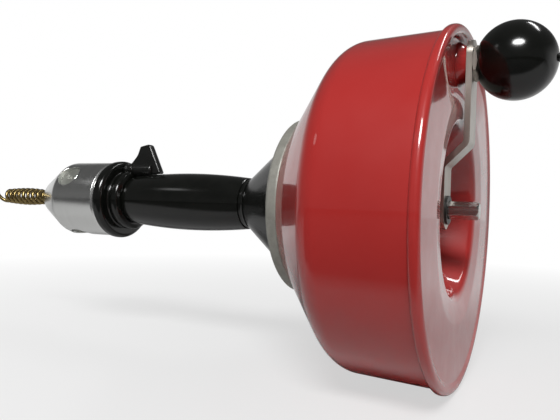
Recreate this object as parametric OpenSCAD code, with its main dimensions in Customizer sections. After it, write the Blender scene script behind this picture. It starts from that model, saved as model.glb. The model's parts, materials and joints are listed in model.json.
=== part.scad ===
// Hand-held drum drain snake: a closed sheet-steel drum with a crank and a hex drive
// turns on a fixed grip, and a spring cable leaves through a feed head at the nose.
// The drum's axis is X. The nose points to -X, the crank is at +X, and +Z is up.
// Profiles are lists of [radius, station, fillet]. A station is a distance in front of
// the drum's rear plane, so a station of 100 lies at x = -100.

/* [Drum] */
// Outer radius of the drum wall at its rear rim
drum_r = 89.2; // [86:0.1:92]
// Distance from the rear plane to the front face of the drum
drum_depth = 80.4; // [78:0.1:84]
// Draft of the drum wall in degrees
wall_draft = 2.1; // [1:0.1:3]
// Angle of the front cone to the drum's axis in degrees
cone_angle = 50.9; // [48:0.1:54]
// Radius of the front face of the drum
drum_front_r = 49.6; // [47:0.1:51]
// Radius of the rounded corner between wall and cone
drum_corner_r = 15; // [10:0.5:20]
// Thickness of the drum's sheet steel
sheet_t = 1.5; // [1:0.1:2]
// Radius of the rear plate's edge, which rolls over the drum's rim
rim_r = 2.5; // [2:0.1:3]

/* [Rear recess] */
// Radius where the flat of the rear plate would meet the recess wall
recess_r = 44; // [42:0.5:46]
// Radius of the recess floor
recess_floor_r = 36; // [34:0.5:38]
// Depth of the recess floor below the rear plane
recess_depth = 24; // [20:0.5:30]

/* [Crank] */
// Distance from the drum's axis to the knob's axis
crank_r = 74; // [70:0.5:76]
// Width of the flat crank arm
arm_w = 16; // [14:0.5:18]
// Thickness of the crank arm
arm_t = 3; // [2.5:0.1:4]
// Diameter of the ball knob
knob_d = 38.6; // [34:0.2:40]
// Size of the hex drive across its flats
hex_af = 8; // [7:0.5:9]

/* [Handle] */
// Radius of the handle's flare at the drum
flare_r = 39.6; // [38:0.2:44]
// Radius of the grip at its middle
grip_r = 18; // [17.5:0.1:20]
// Radius of the grip at its two ends
grip_end_r = 15.4; // [15:0.1:16]
// Radius of the guard disc
disc_r = 25.8; // [25.4:0.1:29]

/* [Nose] */
// Radius of the nose barrel
nose_r = 24.8; // [24.6:0.1:25.2]
// Station of the nose's front face
nose_front = 287.5; // [284:0.5:292]
// Radius of the three round roller pockets
pocket_r = 8.4; // [8:0.1:9]
// Angle of the first pocket from the top, towards -Y
pocket_turn = 50; // [40:5:60]
// Skew of the feed rollers at rest in degrees
roller_skew = 0; // [-4:1:4]

/* [Cable] */
// Diameter of the spring cable
cable_d = 6.4; // [6:0.1:6.6]
// Turns in each of the two layers inside the drum
layer_turns = 4; // [2:1:4]
// Turn of the winding about the drum's axis in degrees
coil_turn = 120; // [0:5:355]
// How far the loose inner layer lies below the drum's axis
coil_sag = 7; // [0:0.5:8]
// Diameter of the wire of the auger tip
tip_wire_d = 2.6; // [2:0.1:3]
// Full turns of the auger tip
tip_turns = 9; // [6:1:9]
// Largest outer radius of the auger tip
tip_r = 6.4; // [6:0.1:7]

/* [Hidden] */
$fn = 72;

// Colours
paint_red = [0.70, 0.16, 0.16];
gloss_black = [0.07, 0.07, 0.07];
zinc = [0.62, 0.60, 0.56];
cast_grey = [0.50, 0.50, 0.47];
bright_alu = [0.78, 0.79, 0.78];
steel = [0.55, 0.55, 0.56];
brass = [0.66, 0.52, 0.25];

// Clearances: rotating fits, seats that don't move, and free gaps between bodies
run_fit = 0.05;
seat_gap = 0.03;
free_gap = 0.3;

// Stations of the drum's sheet metal
wall_rear = 0.6;
plate_s = wall_rear - rim_r;
plate_flat_r = 58;
recess_lip_s = 0.5;
rim_outer_r = drum_r - 0.3 + rim_r;
rim_front = wall_rear + rim_r;
rim_end_r = drum_r + 0.5;
hub_hole_r = 19;

// Shallow dish pressed into the rear plate round the crank's boss
dish_s = 4.8;
dish_front = dish_s + sheet_t;
dish_end_r = 20.5;
dish_end_y = 16;
dish_edge_r = drum_r - sheet_t - 1.4;

// Point where the drum's wall line and cone line would meet
wall_slope = tan(wall_draft);
cone_slope = tan(cone_angle);
corner_s = (drum_front_r + cone_slope * drum_depth - drum_r - wall_slope * wall_rear)
    / (cone_slope - wall_slope);
corner_r = drum_r - wall_slope * (corner_s - wall_rear);

// Crank: x of the arm's front face above and below its bend, and the heights of the bend
arm_high_x = 1.6;
arm_low_x = -9.9;
arm_top_z = crank_r + 11.8;
arm_bend_high_z = 34.5;
arm_bend_low_z = 23;
arm_bend_r = 2.5;
arm_low_end_z = -10;
arm_rear_x = arm_high_x + arm_t;
boss_base_r = 11.8;
boss_shoulder_r = 11.2;
boss_shoulder_s = 2.4;
boss_top_r = 8.2;
bolt_r = 3;
bolt_front = 11.2;
bolt_hole_r = bolt_r + 0.1;
spindle_r = 4;
arm_nut_af = 16;
nut_t = 2.2;
spindle_nut_af = 10;
spindle_nut_t = 4.5;
knob_x = 23.9;
knob_stub_r = 2.1;
knob_stub_x = knob_x + knob_d / 2 + 3.4;
knob_flat_x = arm_rear_x + nut_t + 0.5;
knob_bush_r = 5.5;
head_r = 5;
head_x = 36.5;
head_t = 3.1;

// Drive shaft
hex_tip_x = 9.3;
shoulder_r = 8;
shaft_thread_r = 5;
shaft_thread_l = 13;
shaft_nut_af = 17;
shaft_nut_t = 7.5;
washer_r = 7.4;
washer_t = 1.2;

// Hub and tube
ring_s = drum_depth + 0.1;
ring_t = 6.6;
ring_r = drum_front_r - 0.7;
ring_front = ring_s + ring_t;
spigot_r = hub_hole_r - 0.2;
spigot_rear = 74;
backing_r = 38;
backing_t = 3;
inside_s = drum_depth - sheet_t;
tube_r = 8;
tube_bore_r = 4.6;
tube_rear = 70;
tube_front = 206;
clip_s = 202.2;
clip_t = 1.6;
clip_groove = 0.8;
screw_circle_r = 30;
screw_count = 4;
screw_r = 2;
screw_head_r = 3.6;
screw_head_t = 3;
screw_front = drum_depth + 3.4;

// Handle
flare_s = ring_front + 1.2;
flare_end = 121;
neck_r = 14.8;
neck_end = 123.5;
core_r = 13;
core_bore_r = 10;
core_front = 226;
rear_bush_front = 112;
front_bush_rear = 190;
grip_rear = neck_end + 0.1;
grip_front = 211.5;
disc_s = 220.5;
disc_front = 228.2;
spigot_front = 234;

// Lever and cam ring inside the nose
lever_z = 19.8;
lever_hub_r = 4.8;
lever_hub_rear = 197.5;
lever_hub_front = disc_s - 0.4;
lever_shaft_r = 2;
channel_r = lever_hub_r + 0.5;
channel_rear = 186.5;
crank_pin_r = 1.5;
crank_throw = 4;
web_s = 234.4;
web_t = 2.2;
cam_s = 237;
cam_t = 3;
cavity_r = 22.3;
cam_r = cavity_r - free_gap;
cavity_front = 240.5;

// Nose and rollers
shoulder_s = 264;
nose_tip_r = 11.4;
nose_chamfer = 1.2;
cable_bore_r = 4.4;
mouth_r = 7;
mouth_s = 277;
pocket_s = 255;
pocket_count = 3;
carrier_r = pocket_r - run_fit;
carrier_in = 7.5;
carrier_out = 21.6;
roller_r = 5;
roller_w = 5.6;
roller_at = 8.6;
roller_slot_w = 6.4;
roller_pin_r = 1.5;
follower_r = 1.5;
follower_at = 16;
follower_swing = 1.4;
cam_bore_r = 7.5;
cam_slot_half = follower_r + 0.45;
cam_slot_reach = 0.8;
crank_slot_in = 12.6;
crank_slot_l = 6.6;

// Cable: two wound layers, the run to the hub tube, and the tip
cable_r = cable_d / 2;
outer_layer_r = 82.2;
layer_pitch = cable_d + 0.7;
inner_layer_r = outer_layer_r - layer_pitch;
coil_rear = 13;
loop_rings = 24;
cable_sides = 6;
lead_run_s = 66;
lead_rear = tube_rear + 2;
ferrule_s = nose_front - 5;
ferrule_t = 6.5;
ferrule_r = 4.4;
tip_s = ferrule_s + ferrule_t;
tip_rear_r = 4.8;
tip_front_r = 5.2;
tip_pitch = 4.85;
curl_rings = 8;

// Geometry helpers

function unit(v) = v / norm(v);
function flat(p) = [p[0], p[1]];
function left_of(d) = [-d[1], d[0]];
function wrap_turn(a) = a > 180 ? a - 360 : (a < -180 ? a + 360 : a);

// Arc that replaces the corner b between a and c
function round_corner(a, b, c, r) =
    r == 0 ? [b] :
    let (
        u = unit(a - b),
        w = unit(c - b),
        half = acos(u * w) / 2,
        centre = b + unit(u + w) * (r / sin(half)),
        p = b + u * (r / tan(half)) - centre,
        q = b + w * (r / tan(half)) - centre,
        start = atan2(p[1], p[0]),
        turn = wrap_turn(atan2(q[1], q[0]) - start),
        steps = max(2, ceil(abs(turn) / 7))
    )
    [for (i = [0:steps]) centre + r * [cos(start + turn * i / steps), sin(start + turn * i / steps)]];

// Closed outline of [x, y, fillet] points
function rounded(points) =
    let (n = len(points))
    [for (i = [0:n - 1])
        each round_corner(flat(points[(i + n - 1) % n]), flat(points[i]),
            flat(points[(i + 1) % n]), points[i][2])];

// Open path of [x, y, fillet] points
function rounded_path(points) =
    let (last = len(points) - 1)
    [for (i = [0:last])
        each (i == 0 || i == last ? [flat(points[i])] :
            round_corner(flat(points[i - 1]), flat(points[i]), flat(points[i + 1]), points[i][2]))];

// The path moved to its left by t, with each fillet changed to stay concentric
function beside(points, t) =
    let (
        last = len(points) - 1,
        dirs = [for (i = [0:last - 1]) unit(flat(points[i + 1]) - flat(points[i]))]
    )
    [for (i = [0:last])
        let (
            before = dirs[max(i - 1, 0)],
            after = dirs[min(i, last - 1)],
            mitre = unit(left_of(before) + left_of(after)),
            moved = flat(points[i]) + mitre * t / (mitre * left_of(before)),
            bend = before[0] * after[1] - before[1] * after[0]
        )
        [moved[0], moved[1], points[i][2] == 0 ? 0 : points[i][2] - sign(bend) * t]];

function reversed(list) = [for (i = [len(list) - 1:-1:0]) list[i]];

// Strip of thickness t to the left of a path
function strip(points, t) = concat(rounded_path(points), reversed(rounded_path(beside(points, t))));

// Children built along +Z point forward, towards -X
module forward(s = 0) {
    translate([-s, 0, 0]) rotate([0, -90, 0]) children();
}

module revolve(outline) {
    forward() rotate_extrude() polygon(outline);
}

module rod(s0, s1, r) {
    forward(s0) cylinder(r = r, h = s1 - s0);
}

module ring(s0, s1, outer, inner) {
    revolve([[inner, s0], [outer, s0], [outer, s1], [inner, s1]]);
}

module hex_rod(s0, s1, flats) {
    forward(s0) cylinder(r = flats / 2 / cos(30), h = s1 - s0, $fn = 6);
}

module hex_nut(s0, s1, flats, bore) {
    chamfer = 0.8;
    difference() {
        intersection() {
            hex_rod(s0, s1, flats);
            revolve([
                [0, s0], [flats / 2, s0], [flats / 2 + chamfer * 2, s0 + chamfer],
                [flats / 2 + chamfer * 2, s1 - chamfer], [flats / 2, s1], [0, s1]
            ]);
        }
        rod(s0 - 1, s1 + 1, bore);
    }
}

module at_knob() {
    translate([0, 0, crank_r]) children();
}

// Children are turned to one of the nose's pockets, with the pocket's axis along +Z
module at_pocket(i) {
    rotate([pocket_turn + i * 360 / pocket_count, 0, 0]) translate([-pocket_s, 0, 0]) children();
}

// Tube of n sides swept along points, with a frame carried along without twist
function tangent_at(p, i) = unit(p[min(i + 1, len(p) - 1)] - p[max(i - 1, 0)]);
function side_of(t, up) = unit(up - t * (up * t));
function frames(p, i, up) =
    i == len(p) ? [] :
    let (side = side_of(tangent_at(p, i), up)) concat([side], frames(p, i + 1, side));
module tube(path, r, n, first_up) {
    sides = frames(path, 0, first_up);
    count = len(path);
    points = [for (i = [0:count - 1]) let (across = cross(tangent_at(path, i), sides[i]))
        for (k = [0:n - 1]) path[i] + r * (cos(360 * k / n) * sides[i] + sin(360 * k / n) * across)];
    walls = [for (i = [0:count - 2], k = [0:n - 1])
        let (a = i * n + k, b = i * n + (k + 1) % n)
        each [[a, a + n, b], [b, a + n, b + n]]];
    caps = [for (k = [1:n - 2]) each [
        [0, k, k + 1],
        [(count - 1) * n, (count - 1) * n + k + 1, (count - 1) * n + k]
    ]];
    polyhedron(points = points, faces = concat(walls, caps), convexity = 10);
}

// Least distance between points of a path that lie at least skip points apart
function self_gap(p, skip) =
    min([for (i = [0:len(p) - 1 - skip], j = [i + skip:len(p) - 1]) norm(p[i] - p[j])]);

// Drum

module drum_shell() {
    sheet = [
        [drum_r, wall_rear, 0], [corner_r, corner_s, drum_corner_r],
        [drum_front_r, drum_depth, 2.5], [hub_hole_r, drum_depth, 0]
    ];
    color(paint_red) difference() {
        revolve(strip(sheet, sheet_t));
        hub_screw_holes();
    }
}

module dish_outline(grow) {
    for (side = [-1, 1]) translate([side * dish_end_y, crank_r]) circle(r = dish_end_r + grow);
    translate([0, crank_r]) square([2 * dish_end_y, 2 * (dish_end_r + grow)], center = true);
}

// Dish between two depths, cut off by the plate's round edge
module dish(s0, s1, grow, edge_r) {
    intersection() {
        translate([-s1, 0, 0]) rotate([90, 0, 90]) linear_extrude(height = s1 - s0) dish_outline(grow);
        rod(s0 - 1, s1 + 1, edge_r);
    }
}

module rear_plate() {
    sheet = [
        [shaft_thread_r + 0.2, recess_depth, 0], [recess_floor_r, recess_depth, 3],
        [recess_r, recess_lip_s, 5], [plate_flat_r, plate_s, 20], [rim_outer_r, plate_s, rim_r],
        [rim_outer_r, rim_front, 1.6], [rim_end_r, rim_front, 0]
    ];
    color(paint_red) difference() {
        union() {
            revolve(strip(sheet, sheet_t));
            dish(plate_s + 1.3, dish_front, sheet_t, dish_edge_r + 0.9);
        }
        dish(plate_s - 3, dish_s, 0, dish_edge_r);
        at_knob() rod(plate_s - 1, dish_front + 1, bolt_hole_r);
    }
}

module crank_boss() {
    color(paint_red) at_knob() revolve(rounded([
        [bolt_hole_r, dish_s, 0], [boss_base_r, dish_s, 0], [boss_shoulder_r, boss_shoulder_s, 3],
        [boss_top_r, -arm_high_x, 0], [bolt_hole_r, -arm_high_x, 0]
    ]));
}

module crank_arm() {
    side = [
        [arm_high_x, arm_top_z + 1, 0], [arm_high_x, arm_bend_high_z, arm_bend_r],
        [arm_low_x, arm_bend_low_z, arm_bend_r + arm_t], [arm_low_x, arm_low_end_z - 1, 0]
    ];
    color(zinc) difference() {
        intersection() {
            rotate([90, 0, 0]) linear_extrude(height = arm_w + 2, center = true)
                polygon(strip(side, arm_t));
            translate([arm_low_x - 5, 0, 0]) rotate([90, 0, 90]) linear_extrude(height = 30)
                arm_outline();
        }
        at_knob() rod(-hex_tip_x, hex_tip_x, bolt_hole_r);
        hex_rod(-hex_tip_x, hex_tip_x + 1, hex_af + 0.15);
    }
}

module arm_outline() {
    half = arm_w / 2;
    translate([0, arm_top_z - half]) circle(r = half);
    translate([0, arm_low_end_z + half]) circle(r = half);
    translate([-half, arm_low_end_z + half])
        square([arm_w, arm_top_z - arm_low_end_z - arm_w]);
}

module arm_nut() {
    color(zinc) at_knob()
        hex_nut(-arm_rear_x - nut_t, -arm_rear_x, arm_nut_af, bolt_hole_r);
}

module knob_spindle() {
    shank_x = arm_rear_x + nut_t;
    color(steel) at_knob() revolve(rounded([
        [0, bolt_front, 0], [bolt_r, bolt_front, 0.6], [bolt_r, -shank_x, 0], [spindle_r, -shank_x, 0],
        [spindle_r, -head_x, 0], [head_r, -head_x, 0], [head_r, -head_x - head_t, 1.5],
        [0, -head_x - head_t, 0]
    ]));
}

module spindle_nut() {
    color(zinc) at_knob() hex_nut(dish_front, dish_front + spindle_nut_t, spindle_nut_af, bolt_hole_r);
}

// The ball is closed over the head of its spindle
module ball_knob() {
    hollow_x = head_x + head_t + 0.4;
    color(gloss_black) at_knob() difference() {
        union() {
            translate([knob_x, 0, 0]) sphere(r = knob_d / 2);
            rod(-knob_stub_x, 2 - knob_x - knob_d / 2, knob_stub_r);
        }
        rod(-knob_flat_x, knob_d, knob_d);
        rod(-head_x, 0, knob_bush_r + seat_gap);
        rod(-hollow_x, -head_x + free_gap, head_r + 1);
    }
}

module knob_bush() {
    color(brass) at_knob()
        ring(-head_x + free_gap, -knob_flat_x, knob_bush_r, spindle_r + run_fit);
}

module drive_shaft() {
    corner = hex_af / 2 / cos(30);
    seat_s = -arm_low_x;
    color(steel) {
        intersection() {
            hex_rod(-hex_tip_x, seat_s, hex_af);
            revolve([[0, -hex_tip_x], [corner - 0.8, -hex_tip_x], [corner, -hex_tip_x + 1],
                [corner, seat_s], [0, seat_s]]);
        }
        rod(seat_s, recess_depth, shoulder_r);
        rod(recess_depth, recess_depth + shaft_thread_l, shaft_thread_r);
    }
}

module shaft_washer() {
    face_s = -arm_low_x - arm_t;
    color(gloss_black) ring(face_s - washer_t, face_s, washer_r, hex_af / 2 / cos(30) + 0.1);
}

module shaft_nut() {
    floor_front = recess_depth + sheet_t;
    color(zinc) hex_nut(floor_front, floor_front + shaft_nut_t, shaft_nut_af, shaft_thread_r + 0.1);
}

// Hub that carries the drum

module at_hub_screws() {
    for (i = [0:screw_count - 1])
        rotate([45 + i * 360 / screw_count, 0, 0]) translate([0, 0, screw_circle_r]) children();
}

module hub_screw_holes() {
    at_hub_screws() rod(inside_s - backing_t - 1, screw_front + 0.2, screw_r + 0.1);
}

module hub_flange() {
    color(cast_grey) difference() {
        revolve(rounded([
            [tube_r + seat_gap, spigot_rear, 0], [spigot_r, spigot_rear, 1], [spigot_r, ring_s, 0],
            [ring_r, ring_s, 1], [ring_r, ring_front, 1.8],
            [tube_r + seat_gap, ring_front, 0]
        ]));
        hub_screw_holes();
    }
}

module hub_backing_plate() {
    color(zinc) difference() {
        ring(inside_s - backing_t, inside_s, backing_r, hub_hole_r);
        hub_screw_holes();
    }
}

module hub_screws() {
    head_s = inside_s - backing_t;
    color(zinc) at_hub_screws() revolve([
        [0, head_s - screw_head_t], [screw_head_r, head_s - screw_head_t], [screw_head_r, head_s],
        [screw_r, head_s], [screw_r, screw_front], [0, screw_front]
    ]);
}

module hub_tube() {
    color(steel) difference() {
        ring(tube_rear, tube_front, tube_r, tube_bore_r);
        ring(clip_s, clip_s + clip_t, tube_r + 1, tube_r - clip_groove);
    }
}

module tube_retainer() {
    color(steel) difference() {
        ring(clip_s + 0.1, clip_s + clip_t - 0.1, core_bore_r - 0.5, tube_r - clip_groove + 0.1);
        translate([-clip_s - clip_t, -2, 0]) cube([2 * clip_t, 4, 2 * tube_r]);
    }
}

module thrust_washer() {
    color([0.85, 0.85, 0.8]) ring(ring_front + 0.1, flare_s - 0.1, core_r + 2, tube_r + 0.4);
}

// Handle

module rear_bush() {
    color(brass) ring(flare_s + 0.6, rear_bush_front, core_bore_r - seat_gap, tube_r + run_fit);
}

module front_bush() {
    color(brass) ring(front_bush_rear, clip_s - free_gap, core_bore_r - seat_gap, tube_r + run_fit);
}

module handle_flange() {
    wall = 4.2;
    rim_t = 1.2;
    hub_r = core_r + 2;
    cone_end_s = 108;
    cone_end_r = flare_r - wall - (flare_r - neck_r) * (cone_end_s - flare_s) / (flare_end - flare_s);
    color(gloss_black) revolve(rounded([
        [core_r + seat_gap, flare_s, 0], [hub_r, flare_s, 0.5], [hub_r, cone_end_s, 1],
        [cone_end_r, cone_end_s, 1], [flare_r - wall, flare_s, 0.5], [flare_r, flare_s, 0.5],
        [flare_r, flare_s + rim_t, 0.6], [neck_r, flare_end, 4], [neck_r - 0.2, neck_end, 0],
        [core_r + seat_gap, neck_end, 0]
    ]));
}

module core_tube() {
    color(steel) ring(flare_s, core_front, core_r, core_bore_r);
}

// Barrel shape of the grip: a parabola through its ends and its middle
function grip_radius(t) = grip_end_r + (grip_r - grip_end_r) * (1 - pow(2 * t - 1, 2));

module grip_sleeve() {
    steps = 16;
    length = grip_front - grip_rear;
    outside = [for (i = [0:steps]) [grip_radius(i / steps), grip_rear + length * i / steps]];
    inner = core_r + seat_gap;
    color(gloss_black) difference() {
        revolve(concat([[inner, grip_rear]], outside, [[inner, grip_front]]));
        lever_channel();
    }
}

module lever_channel() {
    translate([0, 0, lever_z]) rod(channel_rear, lever_hub_front + 0.2, channel_r);
}

module guard_disc() {
    inner = core_r + seat_gap;
    collar_r = 19.6;
    seat_r = 16.5;
    waist_r = 17.2;
    color(gloss_black) difference() {
        revolve(rounded([
            [inner, grip_front + 0.1, 0], [seat_r, grip_front + 0.1, 1], [collar_r, grip_front + 1.5, 2.2],
            [collar_r, disc_s - 3.3, 2.2], [waist_r, disc_s, 1.2], [disc_r, disc_s, 3],
            [disc_r, disc_front, 3], [cavity_r - seat_gap, disc_front, 0],
            [cavity_r - seat_gap, spigot_front, 0],
            [cable_bore_r, spigot_front, 0], [cable_bore_r, core_front + 0.1, 0],
            [inner, core_front + 0.1, 0]
        ]));
        lever_channel();
        translate([0, 0, lever_z]) rod(disc_s - 2, spigot_front + 1, lever_shaft_r + run_fit);
    }
}

// Thumb lever with its fin, and the shaft that takes its turn into the nose

module feed_lever() {
    half_t = 2.4;
    fin = rounded([
        [-190.6, 17.7, 1], [-200.3, 37.2, 2.6], [-208, 35.6, 1.4], [-210.3, 29.8, 11],
        [-216, 23.8, 0], [-216, lever_z, 0], [-205, lever_z - 3.2, 0]
    ]);
    color(gloss_black) difference() {
        union() {
            translate([0, 0, lever_z]) revolve(rounded([
                [0, lever_hub_rear, 0], [lever_hub_r, lever_hub_rear, 1.2],
                [lever_hub_r, lever_hub_front, 0.6], [0, lever_hub_front, 0]
            ]));
            rotate([90, 0, 0]) linear_extrude(height = 2 * half_t, center = true) polygon(fin);
        }
        translate([0, 0, lever_z])
            rod(lever_hub_rear + 4, lever_hub_front + 1, lever_shaft_r + seat_gap);
    }
}

module lever_shaft() {
    color(steel) {
        translate([0, 0, lever_z]) rod(lever_hub_rear + 4.5, web_s, lever_shaft_r);
        forward(web_s) linear_extrude(height = web_t) crank_web_outline();
        translate([0, 0, lever_z - crank_throw])
            rod(web_s + web_t, cam_s + cam_t - 0.4, crank_pin_r);
    }
}

module crank_web_outline() {
    translate([lever_z, 0]) circle(r = lever_shaft_r);
    translate([lever_z - crank_throw, 0]) circle(r = lever_shaft_r);
    translate([lever_z - crank_throw, -lever_shaft_r]) square([crank_throw, 2 * lever_shaft_r]);
}

module cam_ring() {
    color(steel) difference() {
        ring(cam_s, cam_s + cam_t, cam_r, cam_bore_r);
        forward(cam_s - 1) linear_extrude(height = cam_t + 2) {
            translate([crank_slot_in, -crank_pin_r - free_gap])
                square([crank_slot_l, 2 * (crank_pin_r + free_gap)]);
            for (i = [0:pocket_count - 1])
                rotate(-pocket_turn - i * 360 / pocket_count) translate([follower_at, 0])
                    cam_slot_outline();
        }
    }
}

module cam_slot_outline() {
    for (end = [-cam_slot_reach, cam_slot_reach])
        translate([end, 0]) circle(r = cam_slot_half);
    translate([-cam_slot_reach, -cam_slot_half]) square([2 * cam_slot_reach, 2 * cam_slot_half]);
}

// Nose with its three roller pockets

module nose_housing() {
    rear_s = disc_front + 0.1;
    color(bright_alu) difference() {
        revolve(rounded([
            [cavity_r, rear_s, 0], [nose_r - nose_chamfer, rear_s, 0], [nose_r, rear_s + nose_chamfer, 0],
            [nose_r, shoulder_s, 8], [nose_tip_r, nose_front, 3], [mouth_r, nose_front, 0.6],
            [mouth_r, mouth_s, 0], [cable_bore_r, mouth_s, 0], [cable_bore_r, cavity_front, 0],
            [cavity_r, cavity_front, 0]
        ]));
        for (i = [0:pocket_count - 1]) at_pocket(i) {
            cylinder(r = pocket_r, h = 40);
            translate([0, 0, follower_at - 4]) follower_slot();
        }
    }
}

// Slot through which a carrier's follower pin reaches the cam ring and swings with it
module follower_slot() {
    half = follower_r + follower_swing + free_gap;
    translate([pocket_s - cavity_front - 10, -half, 0]) cube([12, 2 * half, 7.5]);
}

module nose_bush() {
    color(brass) ring(mouth_s + 0.1, nose_front - 1, mouth_r - seat_gap, ferrule_r + 0.6);
}

module roller_carrier(i) {
    color(steel) at_pocket(i) {
        difference() {
            translate([0, 0, carrier_in]) cylinder(r = carrier_r, h = carrier_out - carrier_in);
            translate([0, 0, carrier_out]) cylinder(r1 = 1, r2 = 2.2, h = 2, center = true);
            rotate([0, 0, roller_skew]) {
                translate([-roller_slot_w / 2, -roller_r - 1, 0])
                    cube([roller_slot_w, 2 * roller_r + 2, roller_at + roller_r + 1]);
                translate([0, 0, roller_at]) rotate([0, 90, 0])
                    cylinder(r = roller_pin_r + seat_gap, h = 40, center = true);
            }
        }
        translate([carrier_r - 2, 0, follower_at]) rotate([0, 90, 0])
            cylinder(r = follower_r, h = pocket_s - cam_s - 0.4 - carrier_r + 2);
    }
}

module feed_roller(i) {
    color(steel) at_pocket(i) translate([0, 0, roller_at]) rotate([0, 0, roller_skew])
        rotate([0, 90, 0]) difference() {
            cylinder(r = roller_r, h = roller_w, center = true);
            cylinder(r = roller_pin_r + run_fit, h = roller_w + 2, center = true);
        }
}

module roller_pin(i) {
    length = 14;
    color(steel) at_pocket(i) translate([0, 0, roller_at]) rotate([0, 0, roller_skew])
        rotate([0, 90, 0]) cylinder(r = roller_pin_r, h = length, center = true);
}

// Cable: the outer layer winds from front to back, the inner layer winds forward from it and lies
// on the outer one at the bottom of the drum, and the last turn leaves for the drum's axis

function on_drum(angle, r, s) = [-s, r * sin(angle), r * cos(angle)];
layer_rings = layer_turns * loop_rings;
climb_rings = loop_rings / 4;
coil_length = layer_pitch * layer_turns;
function coil_ring(i) =
    let (
        angle = coil_turn + 360 * i / loop_rings,
        inner_i = i - layer_rings - climb_rings,
        climb = max(0, min(1, (i - layer_rings) / climb_rings)),
        r = outer_layer_r + (inner_layer_r - coil_sag - outer_layer_r) * climb,
        s = i <= layer_rings ? coil_rear + coil_length * (1 - i / layer_rings) :
            coil_rear + coil_length * max(0, inner_i) / layer_rings
    )
    on_drum(angle, r, s) - [0, 0, coil_sag * climb];
coil_path = [for (i = [0:2 * layer_rings + climb_rings]) coil_ring(i)];

// Point at t on a smooth curve from a, leaving along the way a_way, to b, arriving along b_way
function blend_curve(a, a_way, b, b_way, t) =
    pow(1 - t, 3) * a + 3 * pow(1 - t, 2) * t * (a + a_way)
    + 3 * (1 - t) * t * t * (b - b_way) + t * t * t * b;
run_steps = 14;
coil_end = coil_path[len(coil_path) - 1];
coil_way = unit(coil_end - coil_path[len(coil_path) - 2]);
run_end = [-lead_run_s, 0, 0];
run_path = [for (i = [1:run_steps])
    blend_curve(coil_end, coil_way * 44, run_end, [-26, 0, 0], i / run_steps)];
cable_path = concat(coil_path, run_path, [[-lead_rear, 0, 0]]);

module cable_coil() {
    color(steel) tube(cable_path, cable_r, cable_sides, [1, 0, 0]);
    echo(cable_gap = self_gap(cable_path, 6) - cable_d);
}

module cable_lead() {
    color(steel) rod(lead_rear, ferrule_s, cable_r);
}

module tip_ferrule() {
    color(steel) revolve(rounded([
        [0, ferrule_s, 0], [ferrule_r, ferrule_s, 0.6], [ferrule_r, tip_s, 0.6], [0, tip_s, 0]
    ]));
}

// Auger tip: a bulb-shaped helix that starts straight from the ferrule and ends in a hook
entry_rings = 3;
entry_length = 3.2;
tip_last = tip_turns * curl_rings + curl_rings / 2;
function tip_shape(t) =
    let (end_r = t < 0.5 ? tip_rear_r : tip_front_r) end_r + (tip_r - end_r) * sin(180 * t);
function tip_ring(i) = on_drum(360 * i / curl_rings, tip_shape(i / tip_last) - tip_wire_d / 2,
    tip_s + tip_wire_d + entry_length + tip_pitch * (i - entry_rings) / curl_rings);
function tip_way(i) = unit(tip_ring(i + 0.1) - tip_ring(i - 0.1));
tip_start = on_drum(0, tip_rear_r - tip_wire_d / 2, tip_s);
tip_bend = tip_start - [tip_wire_d, 0, 0];
tip_entry = [for (t = [0.25, 0.5, 0.75])
    blend_curve(tip_bend, [-4, 0, 0], tip_ring(entry_rings), tip_way(entry_rings) * 5, t)];
hook_end = [-347, -3.4, 2];
hook_way = unit([-0.5, -0.1, 0.85]);
tip_hook = [for (t = [0.25, 0.5, 0.75, 1])
    blend_curve(tip_ring(tip_last), tip_way(tip_last) * 4, hook_end, hook_way * 3, t)];
tip_path = concat([tip_start, tip_bend], tip_entry,
    [for (i = [entry_rings:tip_last]) tip_ring(i)], tip_hook);

module auger_tip() {
    color(brass) tube(tip_path, tip_wire_d / 2, cable_sides, [0, 0, 1]);
    echo(tip_gap = self_gap(tip_path, 5) - tip_wire_d);
}

drum_shell();
rear_plate();
crank_boss();
crank_arm();
arm_nut();
knob_spindle();
spindle_nut();
ball_knob();
knob_bush();
drive_shaft();
shaft_washer();
shaft_nut();
hub_flange();
hub_backing_plate();
hub_screws();
hub_tube();
tube_retainer();
thrust_washer();
rear_bush();
front_bush();
handle_flange();
core_tube();
grip_sleeve();
guard_disc();
feed_lever();
lever_shaft();
cam_ring();
nose_housing();
nose_bush();
roller_carrier(0);  // roller_carrier_1
roller_carrier(1);  // roller_carrier_2
roller_carrier(2);  // roller_carrier_3
feed_roller(0);  // feed_roller_1
feed_roller(1);  // feed_roller_2
feed_roller(2);  // feed_roller_3
roller_pin(0);  // roller_pin_1
roller_pin(1);  // roller_pin_2
roller_pin(2);  // roller_pin_3
cable_coil();
cable_lead();
tip_ferrule();
auger_tip();
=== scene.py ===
import json
import math

import bmesh
import bpy
from mathutils import Matrix, Vector


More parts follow.
